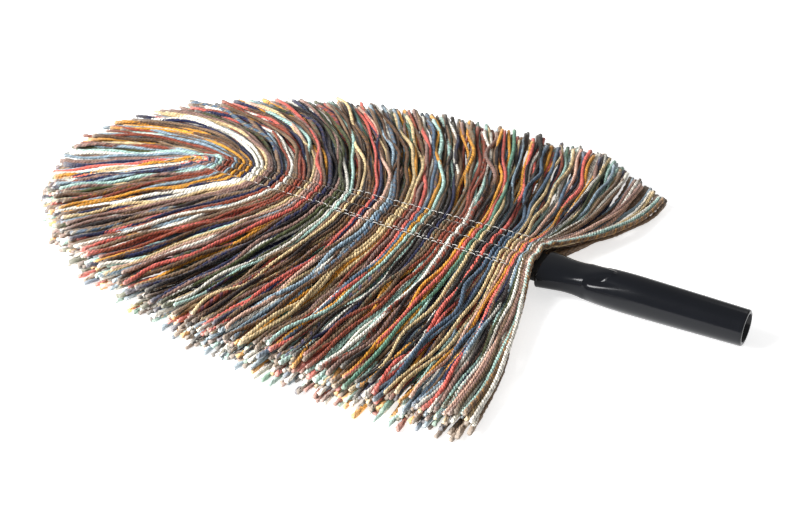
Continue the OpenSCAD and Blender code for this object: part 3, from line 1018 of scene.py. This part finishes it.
def socket_radius(place, angle, s):
    """Outside of the socket at a distance from its mouth and an angle round its axis.

    It is the rounded maximum of a flat tongue, an ellipse that narrows from the mouth and
    runs out on the barrel, and of a barrel that swells behind the waist, later on top.
    """
    full_radius = (SOCKET_HIGH.z - SOCKET_LOW.z) / 2
    full_place = 2 * s.waist_place
    length = SOCKET_HIGH.x - SOCKET_LOW.x
    above = np.degrees(np.arcsin(np.clip(np.sin(angle), 0, 1)))
    near = np.cos(angle) < 0
    delay = np.where(near, smooth((above - 18) / 34), smooth((above - 24) / 66))
    swell = np.exp(-(place - 0.66 * s.waist_place - TOP_DELAY * delay) / SWELL_REACH)
    barrel = np.maximum(full_radius - WAIST_CUT * swell, 2 * MM)
    taper = min(max((place - full_place) / (length - full_place), 0), 1)
    barrel = barrel - (full_radius - END_RADIUS) * taper ** 1.15
    shrink = place / s.waist_place
    wide = s.mouth_half_width - MOUTH_PINCH * math.sin(min(shrink, 1) * math.pi / 2) ** 1.2
    wide = max(wide - 18 * MM * max(shrink - 1, 0), 1.5 * MM)
    tall = s.mouth_half_height + RIDGE * smooth((place - 0.75 * s.waist_place) / (32 * MM))
    tall = tall - 10 * MM * smooth((place - 1.5 * s.waist_place) / (22 * MM))
    square = 2.3 + 0.7 * smooth((place - 0.5 * s.waist_place) / (0.5 * s.waist_place))
    tongue = super_ellipse(angle, wide, tall, square)
    return soft_max(tongue, barrel, 1 / ROUNDING)


def build_socket(material):
    """The socket: the plug's seat, the rounded mouth, the outside, the open end and the bore."""
    s = bpy.context.scene.duster_socket
    length = SOCKET_HIGH.x - SOCKET_LOW.x
    sides = 160
    angle = np.arange(sides) * 2 * np.pi / sides

    def ring(place, radius):
        """Ring of points round the axis, at a distance from the mouth."""
        return np.stack([np.full(sides, MOUTH_X + place), radius * np.cos(angle),
                         AXIS_Z + radius * np.sin(angle)], -1)

    seat_depth = PLUG_HIGH.x - MOUTH_X
    seat = super_ellipse(angle, (PLUG_HIGH.y - PLUG_LOW.y) / 2 + SEAT_GAP,
                         (PLUG_HIGH.z - PLUG_LOW.z) / 2 + SEAT_GAP, 4)
    sections = [ring(seat_depth, seat * 0.02), ring(seat_depth, seat * 0.98),
                ring(seat_depth - 0.5 * MM, seat), ring(1.2 * MM, seat),
                ring(0.3 * MM, seat + 0.5 * MM), ring(0, seat + 1.3 * MM)]
    mouth = socket_radius(0.0, angle, s)
    sections += [ring(RIM * (1 - math.sin(a)), mouth - RIM * (1 - math.cos(a)))
                 for a in np.linspace(math.pi / 2, 0, 6)]
    places = np.concatenate([np.linspace(1.2 * RIM, 30 * MM, 30),
                             np.linspace(30.7 * MM, 90 * MM, 90),
                             np.linspace(92 * MM, length - RIM, 40)])
    sections += [ring(p, socket_radius(p, angle, s)) for p in places]
    outer = socket_radius(length, angle, s)
    sections += [ring(length - RIM * (1 - math.sin(a)), outer - RIM * (1 - math.cos(a)))
                 for a in np.linspace(0, math.pi / 2, 7)[1:]]
    bore = s.bore_radius
    bottom = length - s.bore_depth
    sections += [ring(length, bore + 0.9 * MM), ring(length - 0.25 * MM, bore + 0.35 * MM),
                 ring(length - 0.9 * MM, bore), ring(bottom + MM, bore),
                 ring(bottom, bore * 0.97), ring(bottom, bore * 0.02)]
    points, faces = revolve_grid(np.stack(sections))
    piece = new_object("pole_socket_moulding", points, flipped(faces), material, "handle")
    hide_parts("pole_socket")


def flipped(faces):
    """Faces turned inside out; triangles keep their doubled last corner."""
    turned = faces[:, ::-1].copy()
    triangle = faces[:, 2] == faces[:, 3]
    turned[triangle] = faces[triangle][:, [1, 0, 2, 3]]
    return turned


def swept(name, node, paths, radius, rings, sides, material, body):
    """Untwisted tubes along paths, as uneven as strands, as one piece that replaces a node."""
    paths = even_steps(np.asarray(paths, float), rings)
    strands = {"path": paths, "radius": np.full(len(paths), radius),
               "dye": np.zeros((len(paths), 3)), "marl": np.zeros((len(paths), 3))}
    mesh = strand_mesh(strands, np.arange(len(paths)), rings, sides, NO_TWIST)
    piece = new_object(name, mesh["points"], mesh["faces"], material, body)
    add_uv(piece, "OFBake", mesh["bake"])
    add_uv(piece, "strand", mesh["real"])
    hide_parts(node)


def backing_half(name, up, material):
    """One half of the cloth pocket: a tape that lies over the wire with its edges turned in.

    Across, it follows the arch (w sign(cos a) |cos a|^0.4, h |sin a|^0.4); its front end closes
    as a quarter circle. An inner arch makes its thickness.
    """
    low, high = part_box(name)
    thick = 0.8 * MM
    front = 8 * MM
    crease_room = 0.5 * MM
    taper = (SIDE_SEAM_HIGH.y - SIDE_SEAM_LOW.y) / (SIDE_SEAM_HIGH.x - SIDE_SEAM_LOW.x)
    x = np.concatenate([low.x + front * (1 - np.cos(np.linspace(0.12, math.pi / 2, 14))),
                        np.linspace(low.x + front + 2 * MM, high.x, 150)])
    nose = np.sqrt(1 - (1 - np.clip((x - low.x) / front, 0, 1)) ** 2)
    half = high.y - taper * (high.x - x)
    across = np.linspace(0, math.pi, 37)
    arch = np.sign(np.cos(across)) * np.abs(np.cos(across)) ** 0.4
    lift = np.abs(np.sin(across)) ** 0.4
    creases = 0.22 * MM * (np.sin(x / (3.1 * MM)) + np.sin(x / (7.3 * MM) + 1))[:, None] * lift
    ends = 0.05 * MM
    layers = []
    for inset in (0.0, thick):
        y = ((half - inset) * nose)[:, None] * arch
        z = ends + ((high.z - low.z - crease_room - inset) * nose)[:, None] * lift + creases
        z = AXIS_Z + (1 if up else -1) * np.maximum(z, ends)
        layers.append(np.stack([x[:, None] + 0 * y, y, z], -1))
    points = np.concatenate([layers[0], layers[1][:, ::-1]], 1)
    rows, ring = points.shape[:2]
    start = np.arange(rows - 1)[:, None] * ring
    k = np.arange(ring)[None]
    after = (k + 1) % ring
    walls = np.stack([start + k, start + after, start + ring + after, start + ring + k], -1)
    k = np.arange(ring // 2 - 1)
    front = np.stack([k, ring - 1 - k, ring - 2 - k, k + 1], -1)
    rear = front[:, ::-1] + (rows - 1) * ring
    faces = np.concatenate([walls.reshape(-1, 4), front, rear])
    piece = new_object(name + "_tape", points.reshape(-1, 3), faces[:, ::-1] if up else faces,
                       material, "head")
    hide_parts(name)


def seam_rows():
    """Each seam's node with the ends of its row, from the frame."""
    rows = {"seam_centre": ((SPINE_FRONT, 0.0), (SPINE_REAR, 0.0))}
    for name in ("seam_left", "seam_right", "seam_left_outer", "seam_right_outer"):
        low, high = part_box(name)
        if "left" in name:
            rows[name] = ((low.x, low.y), (high.x, high.y))
        else:
            rows[name] = ((low.x, high.y), (high.x, low.y))
    return rows


def stitch_paths(row, head, s, rng):
    """Paths of the stitches of one row: short arches whose ends dip into the yarn."""
    (x0, y0), (x1, y1) = row
    count = int((x1 - x0) // s.stitch_pitch)
    start = x0 + s.stitch_pitch * (np.arange(count) + rng.uniform(0, 0.12, count))
    t = np.linspace(0, 1, 9)
    x = start[:, None] + s.stitch_length * t[None]
    slope = (y1 - y0) / (x1 - x0)
    y = y0 + slope * (x - x0) + rng.normal(0, 0.25 * MM, (count, 1))
    z = head.band_top(np.abs(y), x) + 0.1 * MM
    z = z - 0.9 * MM * (np.abs(2 * t - 1) ** 5)[None]
    return np.stack([x, y, z], -1)


# ---------------------------------------------------------------- operators

class DUSTER_OT_stage(bpy.types.Operator):
    """Add the floor, the soft lights and the camera"""
    bl_idname = "duster.stage"
    bl_label = "Stage"

    def execute(self, context):
        s = context.scene.duster_stage
        context.scene.view_settings.view_transform = "Standard"
        corners = np.array([[-1, -1, 0], [1, -1, 0], [1, 1, 0], [-1, 1, 0]]) * s.floor_size / 2
        floor = new_object("floor", corners, [[0, 1, 2, 3]],
                           floor_material(tuple(s.floor_colour)), smooth=False)
        aim = np.array([MOUTH_X, 0, 0]) + s.aim
        back = np.array([math.sin(s.azimuth) * math.cos(s.elevation),
                         -math.cos(s.azimuth) * math.cos(s.elevation), math.sin(s.elevation)])
        camera = bpy.data.objects.new("camera", bpy.data.cameras.new("camera"))
        camera.data.lens = s.lens
        camera.location = aim + back * s.distance
        camera.rotation_euler = (math.pi / 2 - s.elevation, 0, s.azimuth)
        context.scene.collection.objects.link(camera)
        context.scene.camera = camera
        world = bpy.data.worlds.new("studio")
        world.use_nodes = True
        sky = world.node_tree.nodes["Background"].inputs
        sky["Color"].default_value = (1, 1, 1, 1)
        sky["Strength"].default_value = SKY_STRENGTH
        context.scene.world = world
        for name, place, power, size in LAMPS:
            light = bpy.data.lights.new(name, "AREA")
            light.energy = power
            light.size = size
            lamp = bpy.data.objects.new(name, light)
            lamp.location = place
            x, y, z = place
            lamp.rotation_euler = (math.atan2(math.hypot(x, y), z), 0,
                                   math.atan2(y, x) + math.pi / 2)
            context.scene.collection.objects.link(lamp)
        return {"FINISHED"}


class DUSTER_OT_pole_socket(bpy.types.Operator):
    """Add the moulded pole socket"""
    bl_idname = "duster.pole_socket"
    bl_label = "Pole socket"

    def execute(self, context):
        colour = tuple(context.scene.duster_socket.colour)
        build_socket(plastic_material("moulded_black", colour, roughness=0.17, grain=1800.0,
                                      depth=0.03 * MM))
        return {"FINISHED"}


class DUSTER_OT_frame_plug(bpy.types.Operator):
    """Give the plug in the mouth its finish"""
    bl_idname = "duster.frame_plug"
    bl_label = "Frame plug"

    def execute(self, context):
        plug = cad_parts["frame_plug"]
        material = plastic_material("plug_black", PLUG_BLACK, roughness=0.7, grain=900.0,
                                    depth=0.6 * MM)
        plug.data.materials.clear()
        plug.data.materials.append(material)
        return {"FINISHED"}


class DUSTER_OT_wire_frame(bpy.types.Operator):
    """Add the sprung wire frame"""
    bl_idname = "duster.wire_frame"
    bl_label = "Wire frame"

    def execute(self, context):
        radius = (WIRE_HIGH.z - WIRE_LOW.z) / 2
        bend = 6 * MM
        centre_x = WIRE_LOW.x + radius + bend
        end_y = WIRE_HIGH.y - radius
        slope = math.atan2(end_y - bend, WIRE_HIGH.x - centre_x)
        turn = np.linspace(math.pi / 2 + slope, 1.5 * math.pi - slope, 40)
        arc = np.stack([centre_x + bend * np.cos(turn), bend * np.sin(turn)], -1)
        path = np.concatenate([[[WIRE_HIGH.x, end_y]], arc, [[WIRE_HIGH.x, -end_y]]])
        path = np.concatenate([path, np.full((len(path), 1), AXIS_Z)], 1)
        swept("wire_frame_spring", "wire_frame", path[None], radius, 420, 24,
              steel_material(), "handle")
        return {"FINISHED"}


class DUSTER_OT_backing(bpy.types.Operator):
    """Add both halves of the cloth pocket"""
    bl_idname = "duster.backing"
    bl_label = "Cloth pocket"

    def execute(self, context):
        material = cloth_material()
        backing_half("upper_backing", True, material)
        backing_half("lower_backing", False, material)
        return {"FINISHED"}


class DUSTER_OT_yarn(bpy.types.Operator):
    """Add the upper and lower yarn, one piece for each hank"""
    bl_idname = "duster.yarn"
    bl_label = "Yarn"
    layer: EnumProperty(
        name="Yarn", description="Which yarn to lay",
        items=[("UPPER", "Upper", "Yarn over the pocket"),
               ("LOWER", "Lower", "Yarn under the pocket")])

    def execute(self, context):
        material = bpy.data.materials.get("dyed_wool") or yarn_material()
        build_yarn(self.layer == "UPPER", material)
        return {"FINISHED"}


class DUSTER_OT_seams(bpy.types.Operator):
    """Sew the rows of stitches over the spine"""
    bl_idname = "duster.seams"
    bl_label = "Seams"

    def execute(self, context):
        s = context.scene.duster_seam
        head = Head(context.scene.duster_yarn)
        material = thread_material(tuple(s.colour))
        rng = np.random.default_rng(s.seed)
        for name, row in seam_rows().items():
            paths = stitch_paths(row, head, s, rng)
            swept(name + "_thread", name, paths, s.thread_radius, 9, 7, material,
                  "head")
        return {"FINISHED"}


class DUSTER_PT_sidebar(bpy.types.Panel):
    """Lists the duster's build steps and settings"""
    bl_label = "Yarn Duster"
    bl_idname = "DUSTER_PT_sidebar"
    bl_space_type = "VIEW_3D"
    bl_region_type = "UI"
    bl_category = "Duster"

    def draw(self, context):
        for step in STEPS:
            self.layout.operator(step.bl_idname)
        for name in SETTINGS:
            box = self.layout.box()
            group = getattr(context.scene, name)
            for key in group.__annotations__:
                box.prop(group, key)


STEPS = (DUSTER_OT_stage, DUSTER_OT_pole_socket, DUSTER_OT_frame_plug, DUSTER_OT_wire_frame,
         DUSTER_OT_backing, DUSTER_OT_yarn, DUSTER_OT_seams)
SETTINGS = {"duster_yarn": YarnSettings, "duster_socket": SocketSettings,
            "duster_seam": SeamSettings, "duster_stage": StageSettings}


def register():
    for cls in (*SETTINGS.values(), *STEPS, DUSTER_PT_sidebar):
        bpy.utils.register_class(cls)
    for name, cls in SETTINGS.items():
        setattr(bpy.types.Scene, name, PointerProperty(type=cls))


def unregister():
    for name in SETTINGS:
        delattr(bpy.types.Scene, name)
    for cls in (DUSTER_PT_sidebar, *STEPS[::-1], *list(SETTINGS.values())[::-1]):
        bpy.utils.unregister_class(cls)


def main():
    register()
    bpy.ops.duster.stage()
    bpy.ops.duster.pole_socket()
    bpy.ops.duster.frame_plug()
    bpy.ops.duster.wire_frame()
    bpy.ops.duster.backing()
    bpy.ops.duster.yarn(layer="UPPER")
    bpy.ops.duster.yarn(layer="LOWER")
    bpy.ops.duster.seams()


if __name__ == "__main__":
    main()
